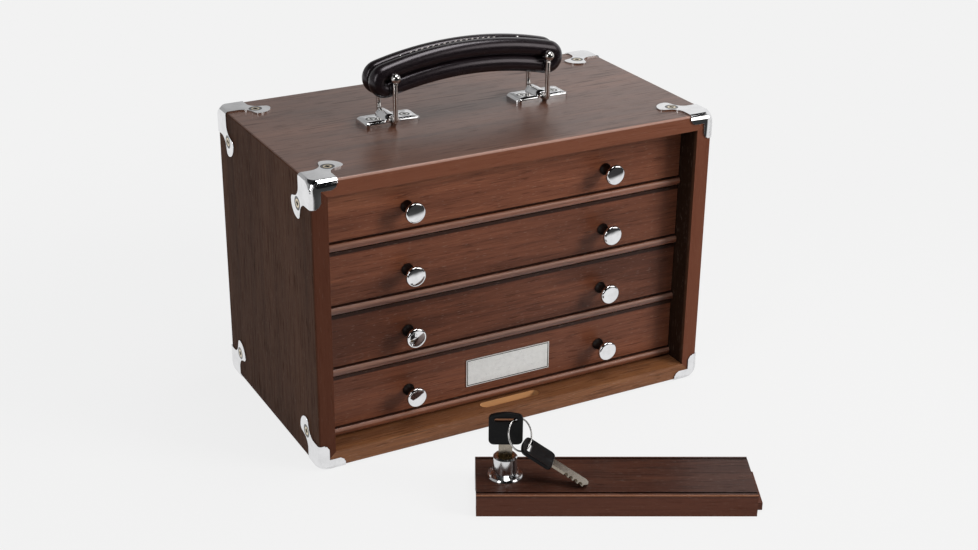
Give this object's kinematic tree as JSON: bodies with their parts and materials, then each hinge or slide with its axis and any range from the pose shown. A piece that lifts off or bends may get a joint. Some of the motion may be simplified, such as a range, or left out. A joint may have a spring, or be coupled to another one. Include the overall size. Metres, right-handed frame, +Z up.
{
  "type": "portable drawer chest",
  "caption": "Small wooden chest of shallow drawers with metal corners, a folding padded handle and a removable lock bar with keys, shown lying in front.",
  "frame": {"origin": "centre of the wooden case's underside; the metal corners that it stands on reach 1 mm lower", "axes": "+X to the chest's right seen from the front, +Y from the front to the back, +Z up"},
  "size_m": [0.342, 0.3901, 0.2902],
  "materials": {
    "case_wood": "satin stained walnut",
    "front_wood": "satin stained walnut",
    "drawer_wood": "satin light wood",
    "panel_wood": "satin stained panel",
    "runner_wood": "planed hard wood",
    "bar_wood": "satin dark stained walnut",
    "felt": "green felt",
    "corner_metal": "polished nickel plate",
    "screw_steel": "nickel plated",
    "knob_metal": "polished nickel plate",
    "plate_metal": "polished nickel plate",
    "bail_metal": "polished nickel plate",
    "nameplate_metal": "satin nickel, bare",
    "leather": "smooth black leather",
    "lock_metal": "polished nickel plate",
    "plug_metal": "brushed",
    "cam_metal": "zinc plated",
    "blade_metal": "nickel plated",
    "key_plastic": "black moulded",
    "ring_metal": "bright steel"
  },
  "bodies": {
    "case": {"case_top": "case_wood", "case_bottom": "case_wood", "case_left_side": "case_wood", "case_right_side": "case_wood", "back_panel": "panel_wood", "left_runners": "runner_wood", "right_runners": "runner_wood", "front_top_left_corner": "corner_metal", "front_top_right_corner": "corner_metal", "back_top_left_corner": "corner_metal", "back_top_right_corner": "corner_metal", "front_bottom_left_corner": "corner_metal", "front_bottom_right_corner": "corner_metal", "back_bottom_left_corner": "corner_metal", "back_bottom_right_corner": "corner_metal", "corner_screws": "screw_steel", "handle_plate_left": "plate_metal", "handle_plate_right": "plate_metal", "plate_screws": "screw_steel"},
    "drawer_1": {"drawer_1_front": "front_wood", "drawer_1_sides": "drawer_wood", "drawer_1_back": "drawer_wood", "drawer_1_bottom": "drawer_wood", "drawer_1_liner": "felt", "drawer_1_knobs": "knob_metal", "nameplate": "nameplate_metal"},
    "drawer_2": {"drawer_2_front": "front_wood", "drawer_2_sides": "drawer_wood", "drawer_2_back": "drawer_wood", "drawer_2_bottom": "drawer_wood", "drawer_2_liner": "felt", "drawer_2_knobs": "knob_metal"},
    "drawer_3": {"drawer_3_front": "front_wood", "drawer_3_sides": "drawer_wood", "drawer_3_back": "drawer_wood", "drawer_3_bottom": "drawer_wood", "drawer_3_liner": "felt", "drawer_3_knobs": "knob_metal"},
    "drawer_4": {"drawer_4_front": "front_wood", "drawer_4_sides": "drawer_wood", "drawer_4_back": "drawer_wood", "drawer_4_bottom": "drawer_wood", "drawer_4_liner": "felt", "drawer_4_knobs": "knob_metal"},
    "bail_left": {"bail_left": "bail_metal"},
    "bail_right": {"bail_right": "bail_metal"},
    "grip": {"grip": "leather", "left_rivet": "bail_metal", "right_rivet": "bail_metal"},
    "lock_bar": {"lock_bar": "bar_wood", "lock_housing": "lock_metal", "lock_nut": "cam_metal"},
    "lock_plug": {"lock_plug": "plug_metal", "lock_cam": "cam_metal", "cam_screw": "cam_metal"},
    "key": {"key_blade": "blade_metal", "key_head": "key_plastic"},
    "key_ring": {"key_ring": "ring_metal"},
    "spare_key": {"spare_key_blade": "blade_metal", "spare_key_head": "key_plastic"}
  },
  "joints": [
    {"name": "drawer_1_slide", "type": "slide", "parent": "case", "child": "drawer_1", "axis": [0, -1, 0], "range_m": [0, 0.075]},
    {"name": "drawer_2_slide", "type": "slide", "parent": "case", "child": "drawer_2", "axis": [0, -1, 0], "range_m": [0, 0.075]},
    {"name": "drawer_3_slide", "type": "slide", "parent": "case", "child": "drawer_3", "axis": [0, -1, 0], "range_m": [0, 0.075]},
    {"name": "drawer_4_slide", "type": "slide", "parent": "case", "child": "drawer_4", "axis": [0, -1, 0], "range_m": [0, 0.075]},
    {"name": "handle_swing", "type": "hinge", "parent": "case", "child": "bail_left", "pos_m": [-0.0665, 0, 0.2346], "axis": [0, 1, 0], "range_deg": [-55, 55]},
    {"name": "right_bail_swing", "type": "hinge", "parent": "case", "child": "bail_right", "pos_m": [0.0665, 0, 0.2346], "axis": [0, 1, 0], "range_deg": [-55, 55]},
    {"name": "grip_on_bail", "type": "hinge", "parent": "bail_left", "child": "grip", "pos_m": [-0.0665, 0, 0.2706], "axis": [0, 1, 0], "range_deg": [-55, 55]},
    {"name": "lock_bar_lift", "type": "slide", "parent": "case", "child": "lock_bar", "axis": [0, 0, 1], "range_m": [0, 0.12]},
    {"name": "lock_turn", "type": "hinge", "parent": "lock_bar", "child": "lock_plug", "pos_m": [-0.06211, -0.1867, 0.019], "axis": [0, 0, -1], "range_deg": [0, 90]},
    {"name": "key_draw", "type": "slide", "parent": "lock_plug", "child": "key", "axis": [0, 0, 1], "range_m": [0, 0.0205]},
    {"name": "ring_swing", "type": "hinge", "parent": "key", "child": "key_ring", "pos_m": [-0.05671, -0.18946, 0.06266], "axis": [-0.4543, -0.8908, 0], "range_deg": [0, 12]},
    {"name": "spare_key_swing", "type": "hinge", "parent": "key_ring", "child": "spare_key", "pos_m": [-0.04711, -0.19577, 0.04253], "axis": [-0.7273, -0.5237, -0.4435], "range_deg": [0, 10]}
  ],
  "couplings": [
    {"joint": "grip_on_bail", "follows": "handle_swing", "ratio": -1},
    {"joint": "right_bail_swing", "follows": "handle_swing", "ratio": 1}
  ]
}
